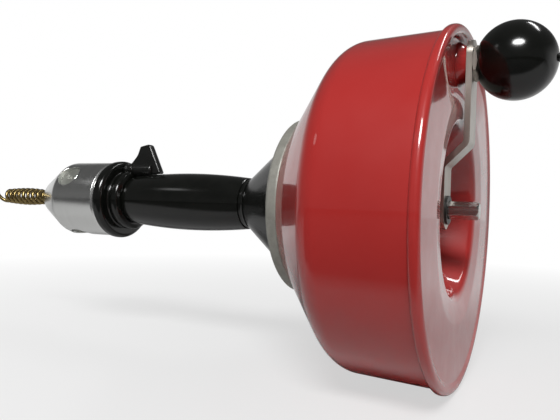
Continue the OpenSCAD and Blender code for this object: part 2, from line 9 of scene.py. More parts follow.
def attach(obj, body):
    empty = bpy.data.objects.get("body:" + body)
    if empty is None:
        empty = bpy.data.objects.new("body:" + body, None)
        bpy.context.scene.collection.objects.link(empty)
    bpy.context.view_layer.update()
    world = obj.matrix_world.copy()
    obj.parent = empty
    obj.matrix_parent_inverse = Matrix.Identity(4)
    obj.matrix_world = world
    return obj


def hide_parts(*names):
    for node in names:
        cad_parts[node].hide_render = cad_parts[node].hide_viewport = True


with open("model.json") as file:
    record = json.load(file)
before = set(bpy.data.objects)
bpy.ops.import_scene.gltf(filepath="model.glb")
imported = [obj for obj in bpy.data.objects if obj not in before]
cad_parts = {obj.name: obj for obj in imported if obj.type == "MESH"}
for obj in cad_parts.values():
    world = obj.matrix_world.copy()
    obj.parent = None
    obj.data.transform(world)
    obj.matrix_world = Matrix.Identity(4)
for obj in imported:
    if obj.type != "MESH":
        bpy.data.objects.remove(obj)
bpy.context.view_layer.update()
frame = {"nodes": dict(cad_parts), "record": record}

# Shapes are written in millimetres. A station s lies at x = -s, in front of the drum's rear plane.
MM = 0.001
AXIS = (0.0, 0.0)
SEGMENTS = 192
ARC_STEP = 5.0
CREASE_ANGLE = 35.0
LIP_SIDES = 10

# Drum
SHEET_T = 1.5
DRUM_R = 89.2
DRUM_DEPTH = 80.4
DRUM_FRONT_R = 49.6
DRUM_CORNER_R = 15.0
WALL_SLOPE = math.tan(math.radians(2.1))
CONE_SLOPE = math.tan(math.radians(50.9))
WALL_REAR = 0.6
HUB_HOLE_R = 19.0

# Rear plate: its edge rolls over the drum, and its flat lies a little below that edge
RIM_R = 2.5
RIM_OUTER_R = DRUM_R - 0.3 + RIM_R
RIM_REAR = WALL_REAR - RIM_R
RIM_FRONT = WALL_REAR + RIM_R
RIM_END_R = DRUM_R + 0.4
RIM_STEP_R = 87.8
FLAT_S = RIM_REAR + 0.9
FLAT_INNER_R = 58.0
FLAT_OUTER_R = 85.4
SHAFT_HOLE_R = 5.2
RECESS_DEPTH = 24.0
RECESS_FLOOR_R = 36.0
RECESS_R = 44.0
RECESS_LIP_S = 0.5

# Dish in the rear plate round the boss: floor, half lengths across and up, outer edge and slopes
DISH_FLOOR_S = 3.0
DISH_HALF_Y = 64.0
DISH_HALF_Z = 36.0
DISH_OUTER_R = DRUM_R - SHEET_T - 0.6
DISH_OUTER_SLOPE = 2.4
DISH_INNER_R = 46.5
DISH_INNER_SLOPE = 16.0
DISH_FLAT_SHARE = 0.2
BOSS_FOOT_S = 4.8
BOLT_HOLE_R = 3.1

# Crank
CRANK_R = 74.0
KNOB_AXIS = (0.0, CRANK_R)
KNOB_X = 23.9
KNOB_RADIUS = 19.3
KNOB_FLAT_X = 7.3
KNOB_BORE_R = 5.53
HEAD_X = 36.5
HOLLOW_X = 40.0
STUB_X = KNOB_X + KNOB_RADIUS + 3.4
STUB_R = 2.1
ARM_T = 3.0
ARM_HALF_W = 8.0
ARM_END_HALF_W = 0.9
ARM_HIGH_X = 1.6
ARM_LOW_X = -9.9
ARM_TOP_Z = 85.8
ARM_BEND_HIGH_Z = 34.5
ARM_BEND_LOW_Z = 23.0
ARM_BEND_R = 2.5
ARM_LOW_END_Z = -10.0

# Handle
RING_S = 80.5
RING_FRONT = 87.1
RING_R = 48.9
FLARE_S = 88.3
FLARE_R = 39.6
CORE_R = 13.03
GRIP_REAR = 123.6
GRIP_FRONT = 211.5
GRIP_R = 18.0
GRIP_END_R = 15.4
DISC_S = 220.5
DISC_FRONT = 228.2
DISC_R = 25.8
LEVER_Z = 19.8

# Nose, cable and tip
NOSE_R = 24.8
NOSE_FRONT = 287.5
POCKET_R = 8.4
POCKET_S = 255.0
POCKET_ANGLES = (50.0, 170.0, 290.0)
CABLE_R = 3.2
CABLE_BORE_R = 4.4
LEAD_REAR = 72.0
LEAD_FRONT = 282.5
TIP_S = 289.0
TIP_WIRE_R = 1.3


# Outlines: lists of (x, y, fillet) corners turned into points

def turn_between(u, w):
    return math.degrees(math.atan2(u.cross(w), u.dot(w)))


def round_corner(a, b, c, radius, steps=None):
    """Points of the arc that replaces the corner b between a and c."""
    if radius <= 0:
        return [b]
    u, w = (a - b).normalized(), (c - b).normalized()
    half = math.acos(max(-1.0, min(1.0, u.dot(w)))) / 2
    centre = b + (u + w).normalized() * (radius / math.sin(half))
    start = b + u * (radius / math.tan(half)) - centre
    end = b + w * (radius / math.tan(half)) - centre
    turn = turn_between(start, end)
    count = steps or max(2, math.ceil(abs(turn) / ARC_STEP))
    return [centre + Matrix.Rotation(math.radians(turn * i / count), 2) @ start
            for i in range(count + 1)]


def flat(point):
    return Vector(point[:2])


def rounded(points, steps=None):
    """Closed outline."""
    count = len(points)
    out = []
    for i, p in enumerate(points):
        before, after = points[i - 1], points[(i + 1) % count]
        out += round_corner(flat(before), flat(p), flat(after), p[2], steps)
    return out


def rounded_path(points):
    """Open path that keeps its two ends."""
    out = [flat(points[0])]
    for before, p, after in zip(points, points[1:], points[2:]):
        out += round_corner(flat(before), flat(p), flat(after), p[2])
    return out + [flat(points[-1])]


def left_of(d):
    return Vector((-d.y, d.x))


def moved_corner(before, after, point, distance):
    """The corner moved to the left of its two edges, with a fillet that stays concentric."""
    mitre = (left_of(before) + left_of(after)).normalized()
    moved = flat(point) + mitre * (distance / mitre.dot(left_of(before)))
    bend = before.cross(after)
    fillet = point[2] and point[2] - math.copysign(distance, bend)
    return moved.x, moved.y, fillet


def beside(points, distance):
    """The open path moved to its left."""
    ways = [(flat(b) - flat(a)).normalized() for a, b in zip(points, points[1:])]
    return [moved_corner(ways[max(i - 1, 0)], ways[min(i, len(ways) - 1)], p, distance)
            for i, p in enumerate(points)]


def strip(points, thickness):
    """Closed outline of a sheet to the left of a path."""
    return rounded_path(points) + rounded_path(beside(points, thickness))[::-1]


def inset(points, distance, least_fillet=0.3):
    """The closed outline, which runs counter-clockwise, moved inwards."""
    count = len(points)
    out = []
    for i, p in enumerate(points):
        before = (flat(p) - flat(points[i - 1])).normalized()
        after = (flat(points[(i + 1) % count]) - flat(p)).normalized()
        x, y, fillet = moved_corner(before, after, p, distance)
        out.append((x, y, max(fillet, least_fillet)))
    return out


# Meshes

def finish_mesh(name, bm, sharp_angle=CREASE_ANGLE):
    """Object with smooth faces and creases at the edges that are steeper than the angle."""
    bmesh.ops.recalc_face_normals(bm, faces=bm.faces)
    mesh = bpy.data.meshes.new(name)
    bm.to_mesh(mesh)
    bm.free()
    mesh.shade_smooth()
    mesh.set_sharp_from_angle(angle=math.radians(sharp_angle))
    obj = bpy.data.objects.new(name, mesh)
    bpy.context.scene.collection.objects.link(obj)
    return obj


def turned(bm, outline, axis=AXIS, segments=SEGMENTS):
    """Adds a closed outline of (radius, station) points, turned about an axis along X."""
    def corner(r, s, angle):
        y = axis[0] + r * math.sin(angle)
        z = axis[1] + r * math.cos(angle)
        return bm.verts.new((-s * MM, y * MM, z * MM))

    poles = {i: corner(0, s, 0) for i, (r, s) in enumerate(outline) if r == 0}
    rings = [[poles[i] if i in poles else corner(r, s, math.tau * k / segments)
              for i, (r, s) in enumerate(outline)]
             for k in range(segments)]
    count = len(outline)
    for k in range(segments):
        here, there = rings[k], rings[(k + 1) % segments]
        for i in range(count):
            j = (i + 1) % count
            corners = list(dict.fromkeys((here[i], here[j], there[j], there[i])))
            if len(corners) > 2:
                bm.faces.new(corners)


def lathe(name, outline, axis=AXIS, segments=SEGMENTS):
    """Object turned about an axis along X."""
    bm = bmesh.new()
    turned(bm, outline, axis, segments)
    return finish_mesh(name, bm)


def skin(bm, rings):
    """Joins rings of vertices by faces and closes both ends."""
    count = len(rings[0])
    for here, there in zip(rings, rings[1:]):
        for i in range(count):
            j = (i + 1) % count
            bm.faces.new((here[i], here[j], there[j], there[i]))
    bm.faces.new(rings[0])
    bm.faces.new(rings[-1])


def swept(bm, path, radius, sides, first_up):
    """Adds a round tube along points in mm, with a frame carried along without twist."""
    up = Vector(first_up)
    rings = []
    for i, p in enumerate(path):
        way = (path[min(i + 1, len(path) - 1)] - path[max(i - 1, 0)]).normalized()
        up = (up - way * up.dot(way)).normalized()
        across = way.cross(up)
        rings.append([bm.verts.new((p + radius * (math.cos(math.tau * k / sides) * up
                                                  + math.sin(math.tau * k / sides) * across)) * MM)
                      for k in range(sides)])
    skin(bm, rings)


def wire(name, path, radius, sides, first_up):
    """Object swept along a path."""
    bm = bmesh.new()
    swept(bm, path, radius, sides, first_up)
    return finish_mesh(name, bm)


def carve(obj, cutter):
    """Cuts another object's shape out of obj and deletes the cutter."""
    cut = obj.modifiers.new("cut", "BOOLEAN")
    cut.operation = "DIFFERENCE"
    cut.solver = "EXACT"
    cut.object = cutter
    bpy.context.view_layer.update()
    graph = bpy.context.evaluated_depsgraph_get()
    mesh = bpy.data.meshes.new_from_object(obj.evaluated_get(graph))
    obj.modifiers.clear()
    obj.data = mesh
    bpy.data.objects.remove(cutter)
    mesh.shade_smooth()
    mesh.set_sharp_from_angle(angle=math.radians(CREASE_ANGLE))
    return obj


def rod(s0, s1, radius, axis=AXIS, segments=96):
    """Plain cylinder along X, used to cut."""
    bm = bmesh.new()
    bmesh.ops.create_cone(bm, cap_ends=True, segments=segments, radius1=radius * MM,
                          radius2=radius * MM, depth=(s1 - s0) * MM)
    bmesh.ops.rotate(bm, verts=bm.verts, matrix=Matrix.Rotation(math.pi / 2, 3, "Y"))
    bmesh.ops.translate(bm, verts=bm.verts,
                        vec=(-(s0 + s1) / 2 * MM, axis[0] * MM, axis[1] * MM))
    return finish_mesh("cutter", bm)


def soften(obj, width):
    """Rounds the sharp edges of a piece."""
    bevel = obj.modifiers.new("edges", "BEVEL")
    bevel.width = width * MM
    bevel.segments = 4
    bevel.limit_method = "ANGLE"
    bevel.angle_limit = math.radians(40.0)
    bevel.harden_normals = True
    return obj


def place(obj, body, slot, material, *stands_for):
    """The piece rides on a body, takes a material and stands for CAD nodes."""
    obj.data.materials.clear()
    obj.data.materials.append(material)
    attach(obj, body)
    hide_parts(*stands_for)
    return obj


# Materials

NOISE_LOW, NOISE_HIGH = 0.3, 0.7
TURNED = (1.0, 0.02, 0.02)
ALONG_ARM = (0.6, 1.0, 0.04)
DRAWN = (0.03, 1.0, 1.0)


class Numbers:
    """Adds nodes that work with numbers to a tree."""

    def __init__(self, tree):
        self.tree = tree

    def spread(self, value, start, end, low, high, way="LINEAR"):
        """Goes from low to high while the value goes from start to end."""
        node = self.tree.nodes.new("ShaderNodeMapRange")
        node.interpolation_type = way
        for name, number in (("From Min", start), ("From Max", end), ("To Min", low), ("To Max", high)):
            node.inputs[name].default_value = number
        self.tree.links.new(value, node.inputs["Value"])
        return node.outputs["Result"]

    def combine(self, operation, *values):
        """Works on numbers and on other nodes' outputs."""
        node = self.tree.nodes.new("ShaderNodeMath")
        node.operation = operation
        for socket, value in zip(node.inputs, values):
            if isinstance(value, float):
                socket.default_value = value
            else:
                self.tree.links.new(value, socket)
        return node.outputs["Value"]


class Shader:
    """A principled material whose detail comes from noise in the part's own coordinates."""

    def __init__(self, name, **constants):
        self.material = bpy.data.materials.new(name)
        self.material.use_nodes = True
        self.tree = self.material.node_tree
        self.surface = self.tree.nodes["Principled BSDF"]
        for socket, value in constants.items():
            title = socket.replace("_", " ").title().replace("Ior", "IOR")
            self.surface.inputs[title].default_value = value
        self.place = self.tree.nodes.new("ShaderNodeTexCoord").outputs["Object"]

    def link(self, output, target):
        self.tree.links.new(output, target)

    def noise(self, scale, stretch=(1.0, 1.0, 1.0), detail=3.0, roughness=0.5):
        """Noise with so many features to the metre, squeezed along an axis by stretch."""
        mapping = self.tree.nodes.new("ShaderNodeMapping")
        mapping.inputs["Scale"].default_value = stretch
        self.link(self.place, mapping.inputs["Vector"])
        noise = self.tree.nodes.new("ShaderNodeTexNoise")
        noise.inputs["Scale"].default_value = scale
        noise.inputs["Detail"].default_value = detail
        noise.inputs["Roughness"].default_value = roughness
        self.link(mapping.outputs["Vector"], noise.inputs["Vector"])
        return noise.outputs["Fac"]

    def colour(self, value, first, second, start=NOISE_LOW, end=NOISE_HIGH):
        """Base colour that goes from the first to the second while the value goes from start to end."""
        ramp = self.tree.nodes.new("ShaderNodeValToRGB")
        for element, position, colour in zip(ramp.color_ramp.elements, (start, end), (first, second)):
            element.position = position
            element.color = (*colour, 1.0)
        self.link(value, ramp.inputs["Fac"])
        self.link(ramp.outputs["Color"], self.surface.inputs["Base Color"])

    def rough(self, value, low, high):
        roughness = Numbers(self.tree).spread(value, NOISE_LOW, NOISE_HIGH, low, high)
        self.link(roughness, self.surface.inputs["Roughness"])

    def bump(self, value, height):
        """Relief of a height in mm."""
        bump = self.tree.nodes.new("ShaderNodeBump")
        bump.inputs["Distance"].default_value = height * MM
        bump.inputs["Strength"].default_value = 1.0
        self.link(value, bump.inputs["Height"])
        self.link(bump.outputs["Normal"], self.surface.inputs["Normal"])
        return self


def red_enamel():
    s = Shader("red_enamel", coat_weight=1.0, coat_roughness=0.05, coat_ior=1.5, specular_ior_level=0.2)
    s.colour(s.noise(9.0, detail=4.0), (0.37, 0.021, 0.019), (0.42, 0.026, 0.023))
    s.rough(s.noise(60.0), 0.35, 0.48)
    return s.bump(s.noise(700.0, detail=1.0), 0.010).material


def black_gloss():
    s = Shader("black_gloss", specular_ior_level=0.5)
    s.colour(s.noise(120.0), (0.0030, 0.0034, 0.0027), (0.0052, 0.0056, 0.0047))
    s.rough(s.noise(45.0, detail=5.0), 0.13, 0.19)
    return s.bump(s.noise(500.0, detail=1.0), 0.008).material


def black_enamel():
    s = Shader("black_enamel", coat_weight=0.4, coat_roughness=0.12)
    s.colour(s.noise(160.0, detail=4.0), (0.0035, 0.0038, 0.0032), (0.0065, 0.0068, 0.0060))
    s.rough(s.noise(90.0, detail=5.0), 0.24, 0.34)
    return s.bump(s.noise(600.0, detail=2.0), 0.012).material


def zinc_plate():
    s = Shader("zinc_plate", metallic=0.9)
    s.colour(s.noise(55.0, detail=5.0), (0.33, 0.305, 0.27), (0.45, 0.42, 0.375), 0.32, 0.68)
    s.rough(s.noise(900.0, ALONG_ARM, detail=4.0), 0.26, 0.40)
    return s.bump(s.noise(900.0, ALONG_ARM, detail=4.0), 0.012).material


def turned_steel():
    s = Shader("turned_steel", metallic=1.0)
    s.colour(s.noise(150.0, detail=4.0), (0.40, 0.39, 0.38), (0.52, 0.51, 0.50))
    s.rough(s.noise(2600.0, TURNED), 0.22, 0.38)
    return s.bump(s.noise(2600.0, TURNED), 0.008).material


def cast_grey():
    s = Shader("cast_grey", metallic=0.35)
    grain = s.noise(240.0, detail=6.0, roughness=0.65)
    s.colour(grain, (0.25, 0.247, 0.22), (0.335, 0.332, 0.295))
    s.rough(s.noise(300.0, detail=4.0), 0.42, 0.58)
    return s.bump(s.noise(1300.0, detail=4.0), 0.05).material


def bright_aluminium():
    s = Shader("bright_aluminium", metallic=1.0, anisotropic=0.35)
    tangent = s.tree.nodes.new("ShaderNodeTangent")
    tangent.direction_type = "RADIAL"
    tangent.axis = "X"
    s.link(tangent.outputs["Tangent"], s.surface.inputs["Tangent"])
    s.colour(s.noise(1800.0, TURNED, detail=4.0), (0.78, 0.785, 0.77), (0.87, 0.875, 0.86))
    s.rough(s.noise(1800.0, TURNED, detail=4.0), 0.19, 0.27)
    return s.bump(s.noise(1800.0, TURNED, detail=4.0), 0.0015).material


def tip_brass():
    s = Shader("tip_brass", metallic=1.0)
    s.colour(s.noise(350.0, detail=4.0), (0.20, 0.145, 0.055), (0.36, 0.27, 0.115))
    s.rough(s.noise(500.0), 0.24, 0.40)
    return s.bump(s.noise(1500.0, detail=2.0), 0.012).material


def bush_bronze():
    s = Shader("bush_bronze", metallic=1.0)
    s.colour(s.noise(250.0, detail=4.0), (0.38, 0.24, 0.10), (0.50, 0.34, 0.15))
    s.rough(s.noise(2600.0, TURNED), 0.30, 0.45)
    return s.bump(s.noise(2600.0, TURNED), 0.008).material


def cable_steel():
    s = Shader("cable_steel", metallic=1.0)
    s.colour(s.noise(300.0, detail=4.0), (0.20, 0.195, 0.185), (0.36, 0.355, 0.34))
    s.rough(s.noise(450.0), 0.28, 0.46)
    return s.bump(s.noise(2000.0, detail=2.0), 0.010).material


def black_washer():
    s = Shader("black_washer")
    s.colour(s.noise(400.0), (0.012, 0.012, 0.011), (0.022, 0.022, 0.020))
    s.rough(s.noise(500.0), 0.38, 0.52)
    return s.bump(s.noise(1500.0), 0.02).material


def satin_steel():
    s = Shader("satin_steel", metallic=0.8)
    s.colour(s.noise(120.0), (0.40, 0.41, 0.37), (0.47, 0.48, 0.44))
    s.rough(s.noise(80.0), 0.38, 0.46)
    return s.bump(s.noise(900.0), 0.004).material


def drawn_steel():
    s = Shader("drawn_steel", metallic=1.0)
    s.colour(s.noise(900.0, DRAWN, detail=4.0), (0.42, 0.41, 0.39), (0.52, 0.51, 0.49))
    s.rough(s.noise(900.0, DRAWN, detail=4.0), 0.20, 0.30)
    return s.bump(s.noise(900.0, DRAWN), 0.003).material


def white_nylon():
    s = Shader("white_nylon", subsurface_weight=0.1)
    s.colour(s.noise(200.0), (0.60, 0.60, 0.56), (0.68, 0.68, 0.64))
    s.rough(s.noise(300.0), 0.40, 0.52)
    return s.bump(s.noise(900.0), 0.012).material


MATERIALS = {
    "red_paint": red_enamel(),
    "zinc": zinc_plate(),
    "steel": turned_steel(),
    "cable_steel": cable_steel(),
    "black_plastic": black_gloss(),
    "black_lever": black_enamel(),
    "black_washer": black_washer(),
    "cast_grey": cast_grey(),
    "bright_alu": bright_aluminium(),
    "bronze": bush_bronze(),
    "tip_brass": tip_brass(),
    "nylon": white_nylon(),
}

# CAD nodes keep their shape and take the material of their slot in the record
for part in frame["record"]["subparts"]:
    mesh = frame["nodes"][part["node"]].data
    mesh.materials.clear()
    mesh.materials.append(MATERIALS[part["material_slot"]])
frame["nodes"]["drive_shaft"].data.materials[0] = drawn_steel()
CARRIER_STEEL = satin_steel()
for number in (1, 2, 3):
    frame["nodes"][f"roller_carrier_{number}"].data.materials[0] = CARRIER_STEEL


def dress(obj, body, slot, *stands_for):
    return place(obj, body, slot, MATERIALS[slot], *stands_for)


# Drum

def wall_radius(s):
    return DRUM_R - WALL_SLOPE * (s - WALL_REAR)


def drum_outline():
    """Pressed sheet, with a slight draft to its wall and a cone in front."""
    corner_s = ((DRUM_FRONT_R + CONE_SLOPE * DRUM_DEPTH - DRUM_R - WALL_SLOPE * WALL_REAR)
                / (CONE_SLOPE - WALL_SLOPE))
    return strip([(DRUM_R, WALL_REAR, 0), (wall_radius(corner_s), corner_s, DRUM_CORNER_R),
                  (DRUM_FRONT_R, DRUM_DEPTH, 2.5), (HUB_HOLE_R, DRUM_DEPTH, 0)], SHEET_T)


dress(lathe("drum", drum_outline(), segments=256), "drum", "red_paint", "drum_shell")

PLATE = [(SHAFT_HOLE_R, RECESS_DEPTH, 0), (RECESS_FLOOR_R, RECESS_DEPTH, 3.0), (RECESS_R, RECESS_LIP_S, 5.0),
         (FLAT_INNER_R, FLAT_S, 20.0), (FLAT_OUTER_R, FLAT_S, 2.0), (RIM_STEP_R, RIM_REAR, 1.2),
         (RIM_OUTER_R, RIM_REAR, RIM_R), (RIM_OUTER_R, RIM_FRONT, 1.7), (RIM_END_R, RIM_FRONT, 0)]


def split(outline, longest):
    """The outline with points added where they lie further apart than a distance."""
    out = []
    for a, b in zip(outline, outline[1:] + outline[:1]):
        parts = max(1, math.ceil((flat(b) - flat(a)).length / longest))
        out += [flat(a).lerp(flat(b), i / parts) for i in range(parts)]
    return out


def smooth_step(start, end, value):
    t = max(0.0, min(1.0, (value - start) / (end - start)))
    return t * t * (3 - 2 * t)


def rear_cover():
    """Cover with a deep round recess, a rolled edge and a wide dish round the crank's boss."""
    cover = lathe("rear_cover", split(strip(PLATE, SHEET_T), longest=1.3), segments=320)
    for vertex in cover.data.vertices:
        _, y, z = vertex.co / MM
        r = math.hypot(y, z)
        away = math.hypot(y / DISH_HALF_Y, (z - CRANK_R) / DISH_HALF_Z)
        if DISH_INNER_R < r < DISH_OUTER_R and away < 1:
            pressed = (smooth_step(1.0, DISH_FLAT_SHARE, away)
                       * smooth_step(DISH_OUTER_R, DISH_OUTER_R - DISH_OUTER_SLOPE, r)
                       * smooth_step(DISH_INNER_R, DISH_INNER_R + DISH_INNER_SLOPE, r))
            vertex.co.x -= (DISH_FLOOR_S - FLAT_S) * pressed * MM
    return cover


dress(rear_cover(), "drum", "red_paint", "rear_plate")

# Boss under the crank's bolt, a dome with a small flat for the arm
BOSS_FOOT_R = 11.9
BOSS_TOP_R = 8.2
BOSS = [(BOLT_HOLE_R, BOSS_FOOT_S, 0), (BOSS_FOOT_R, BOSS_FOOT_S, 0),
        (BOSS_FOOT_R - 0.2, BOSS_FOOT_S - 0.4, 0.5), (11.1, 2.2, 3.5),
        (BOSS_TOP_R + 0.5, 0.3 - ARM_HIGH_X, 0.9), (BOSS_TOP_R, -ARM_HIGH_X, 0),
        (BOLT_HOLE_R, -ARM_HIGH_X, 0)]
dress(lathe("boss", rounded(BOSS), axis=KNOB_AXIS, segments=128), "drum", "red_paint", "crank_boss")


# Crank

def crank_plate():
    """Flat bar with round ends, bent in a Z from the recess to the rim."""
    side = [(ARM_HIGH_X, ARM_TOP_Z, 0), (ARM_HIGH_X, ARM_BEND_HIGH_Z, ARM_BEND_R),
            (ARM_LOW_X, ARM_BEND_LOW_Z, ARM_BEND_R + ARM_T), (ARM_LOW_X, ARM_LOW_END_Z, 0)]
    ends = 14

    def round_end(a, b):
        way = (b - a).normalized() * ARM_HALF_W
        return [a + way * (1 - math.cos(math.pi / 2 * i / ends)) for i in range(ends + 1)]

    def spread(path):
        """The path with more points in its two round ends."""
        return round_end(path[0], path[1]) + path[1:-1] + round_end(path[-1], path[-2])[::-1]

    front, back = spread(rounded_path(side)), spread(rounded_path(beside(side, ARM_T)))
    widths = [ARM_HALF_W * math.sin(math.pi / 2 * i / ends) for i in range(ends + 1)]
    widths[0] = ARM_END_HALF_W
    count = len(front)
    half = [widths[i] if i <= ends else widths[count - 1 - i] if count - 1 - i <= ends else ARM_HALF_W
            for i in range(count)]
    bm = bmesh.new()
    rows = [[bm.verts.new((p.x * MM, y * MM, p.y * MM))
             for p, y in ((front[i], -half[i]), (front[i], half[i]), (back[i], half[i]), (back[i], -half[i]))]
            for i in range(count)]
    skin(bm, rows)
    return soften(finish_mesh("crank", bm, sharp_angle=50.0), 0.85)


dress(crank_plate(), "drum", "zinc", "crank_arm")


def knob_outline():
    """Ball with a flat towards the arm, a stub at its end, and a bore that opens into a hollow."""
    start = math.acos((KNOB_FLAT_X - KNOB_X) / KNOB_RADIUS)
    end = math.asin((STUB_R + 0.3) / KNOB_RADIUS)
    steps = 72
    ball = [(KNOB_RADIUS * math.sin(a), -(KNOB_X + KNOB_RADIUS * math.cos(a)))
            for a in (start + (end - start) * i / steps for i in range(steps + 1))]
    edge_r = ball[0][0]
    ball[0] = (edge_r - 0.5, -KNOB_FLAT_X)
    stub = [(STUB_R, ball[-1][1] - 0.3), (STUB_R, 0.7 - STUB_X), (STUB_R - 0.2, 0.3 - STUB_X),
            (STUB_R - 0.7, -STUB_X), (0, -STUB_X)]
    hollow_r, hollow_rear = 6.0, 0.3 - HEAD_X
    return ([(KNOB_BORE_R, -KNOB_FLAT_X)] + ball + stub + [(0, -HOLLOW_X), (hollow_r, -HOLLOW_X),
            (hollow_r, hollow_rear), (KNOB_BORE_R, hollow_rear)])


dress(lathe("knob", knob_outline(), axis=KNOB_AXIS, segments=160), "knob", "black_plastic", "ball_knob")

# Hub ring
HUB_BORE_R = 8.03
HUB_R = 18.8
HUB_REAR = 74.0
HUB = [(HUB_BORE_R, HUB_REAR, 0), (HUB_R, HUB_REAR, 1.0), (HUB_R, RING_S, 0), (RING_R, RING_S, 1.0),
       (RING_R, RING_FRONT, 1.8), (HUB_BORE_R, RING_FRONT, 0)]
dress(lathe("hub_ring", rounded(HUB)), "drum", "cast_grey", "hub_flange")

# Handle
NECK_R = 14.8
NECK_END = 123.5
FLARE_END = 121.0
FLARE_WALL = 4.2
FLARE_TUBE_R = 15.0
CONE_END_S = 108.0
CONE_END_R = FLARE_R - FLARE_WALL - (FLARE_R - NECK_R) * (CONE_END_S - FLARE_S) / (FLARE_END - FLARE_S)
FLARE = [(CORE_R, FLARE_S, 0), (FLARE_TUBE_R, FLARE_S, 0.5), (FLARE_TUBE_R, CONE_END_S, 1.0),
         (CONE_END_R, CONE_END_S, 1.0), (FLARE_R - FLARE_WALL, FLARE_S, 0.5), (FLARE_R, FLARE_S, 0.5),
         (FLARE_R, FLARE_S + 1.2, 0.6), (NECK_R, FLARE_END, 4.0), (NECK_R, NECK_END, 0.2),
         (CORE_R, NECK_END, 0)]
dress(lathe("flare", rounded(FLARE)), "handle", "black_plastic", "handle_flange")

CHANNEL_REAR = 186.5
CHANNEL_R = 5.3


def lever_channel():
    return rod(CHANNEL_REAR, DISC_S - 0.2, CHANNEL_R, axis=(0.0, LEVER_Z))


def grip_radius(s):
    t = (s - GRIP_REAR) / (GRIP_FRONT - GRIP_REAR)
    return GRIP_END_R + (GRIP_R - GRIP_END_R) * (1 - (2 * t - 1) ** 2)


def grip():
    """Barrel-shaped sleeve with a channel for the lever's hub."""
    steps = 48
    lip = 0.3
    stations = [GRIP_REAR + (GRIP_FRONT - GRIP_REAR) * i / steps for i in range(steps + 1)]
    outside = [(grip_radius(s), s) for s in stations]
    outside[0] = (GRIP_END_R - lip, GRIP_REAR)
    outside[-1] = (GRIP_END_R - lip, GRIP_FRONT)
    outside.insert(1, (GRIP_END_R, GRIP_REAR + lip))
    outside.insert(-1, (GRIP_END_R, GRIP_FRONT - lip))
    body = lathe("grip", [(CORE_R, GRIP_REAR)] + outside + [(CORE_R, GRIP_FRONT)])
    return carve(body, lever_channel())


dress(grip(), "handle", "black_plastic", "grip_sleeve")


def channel_lip():
    """Rounded edge where the lever's channel breaks through the grip."""
    def edge_y(s):
        z = (grip_radius(s) ** 2 + LEVER_Z ** 2 - CHANNEL_R ** 2) / (2 * LEVER_Z)
        return math.sqrt(grip_radius(s) ** 2 - z * z)

    lip_r, sink, half, corner_r = 0.42, 0.22, 4.0, 0.9
    rear, front = CHANNEL_REAR - 0.1, GRIP_FRONT - 0.6
    corner_end = rear + 1.0
    steps = 24
    side = [s for s in (front + (rear - front) * i / steps for i in range(steps)) if s > corner_end]
    bend = rounded_path([(corner_end, half, 0), (rear, half, corner_r),
                         (rear, -half, corner_r), (corner_end, -half, 0)])
    flat_path = [(s, half) for s in side] + [tuple(p) for p in bend] + [(s, -half) for s in side[::-1]]
    path = []
    for s, across in flat_path:
        r = grip_radius(s) - sink
        y = across / half * edge_y(s)
        path.append(Vector((-s, y, math.sqrt(r * r - y * y))))
    return wire("channel_lip", path, lip_r, LIP_SIDES, (0, 0, 1))


dress(channel_lip(), "handle", "black_plastic")

COLLAR_R = 19.6
COLLAR_REAR = GRIP_FRONT + 0.1
COLLAR_REAR_R = 16.5
COLLAR_FRONT_R = 17.2
SPIGOT_R = 22.27
SPIGOT_END = 234.0
CORE_END = 226.1
GUARD = [(CORE_R, COLLAR_REAR, 0), (COLLAR_REAR_R, COLLAR_REAR, 1.0), (COLLAR_R, GRIP_FRONT + 1.5, 2.2),
         (COLLAR_R, DISC_S - 3.3, 2.2), (COLLAR_FRONT_R, DISC_S, 1.2),
         (DISC_R, DISC_S, 3.0), (DISC_R, DISC_FRONT, 3.0),
         (SPIGOT_R, DISC_FRONT, 0), (SPIGOT_R, SPIGOT_END, 0),
         (CABLE_BORE_R, SPIGOT_END, 0), (CABLE_BORE_R, CORE_END, 0), (CORE_R, CORE_END, 0)]
dress(carve(lathe("guard", rounded(GUARD)), lever_channel()), "handle", "black_plastic", "guard_disc")

# Lever: a moulded fin on a grooved hub.
# A layer of the fin is an inset of its outline and a distance from its middle.
FIN = [(-190.6, 17.7, 1.0), (-200.3, 37.2, 2.6), (-208.0, 35.6, 1.4), (-210.3, 29.8, 11.0),
       (-216.0, 23.8, 0.4), (-216.0, LEVER_Z, 0.4), (-205.0, LEVER_Z - 3.2, 0.4)]
FIN_LAYERS = [(1.2, 2.4), (0.85, 2.37), (0.55, 2.28), (0.28, 2.1), (0.1, 1.85), (0.0, 1.5)]
LEVER_R = 4.8
LEVER_GROOVE_R = 4.2
LEVER_BORE_R = 2.03
LEVER_REAR = 197.5
LEVER_FRONT = 220.1
LEVER_BORE_END = 201.5
LEVER_GROOVES = ((212.7, 213.7), (216.7, 217.5))
LEVER_HUB = [(0, LEVER_REAR, 0), (LEVER_R, LEVER_REAR, 1.6)]
for rear, front in LEVER_GROOVES:
    LEVER_HUB += [(LEVER_R, rear - 0.3, 0.3), (LEVER_GROOVE_R, rear, 0.2),
                  (LEVER_GROOVE_R, front, 0.2), (LEVER_R, front + 0.3, 0.3)]
LEVER_HUB += [(LEVER_R, LEVER_FRONT, 0.6), (LEVER_BORE_R, LEVER_FRONT, 0),
              (LEVER_BORE_R, LEVER_BORE_END, 0), (0, LEVER_BORE_END, 0)]


def lever():
    """Fin built up from layers that narrow towards its two faces, and the hub under it."""
    bm = bmesh.new()
    layers = [(d, -y) for d, y in FIN_LAYERS] + [(d, y) for d, y in FIN_LAYERS[::-1]]
    rings = [[bm.verts.new((p.x * MM, y * MM, p.y * MM)) for p in rounded(inset(FIN, d), steps=8)]
             for d, y in layers]
    skin(bm, rings)
    turned(bm, rounded(LEVER_HUB), axis=(0.0, LEVER_Z), segments=96)
    return finish_mesh("lever", bm, sharp_angle=45.0)


dress(lever(), "lever", "black_lever", "feed_lever")

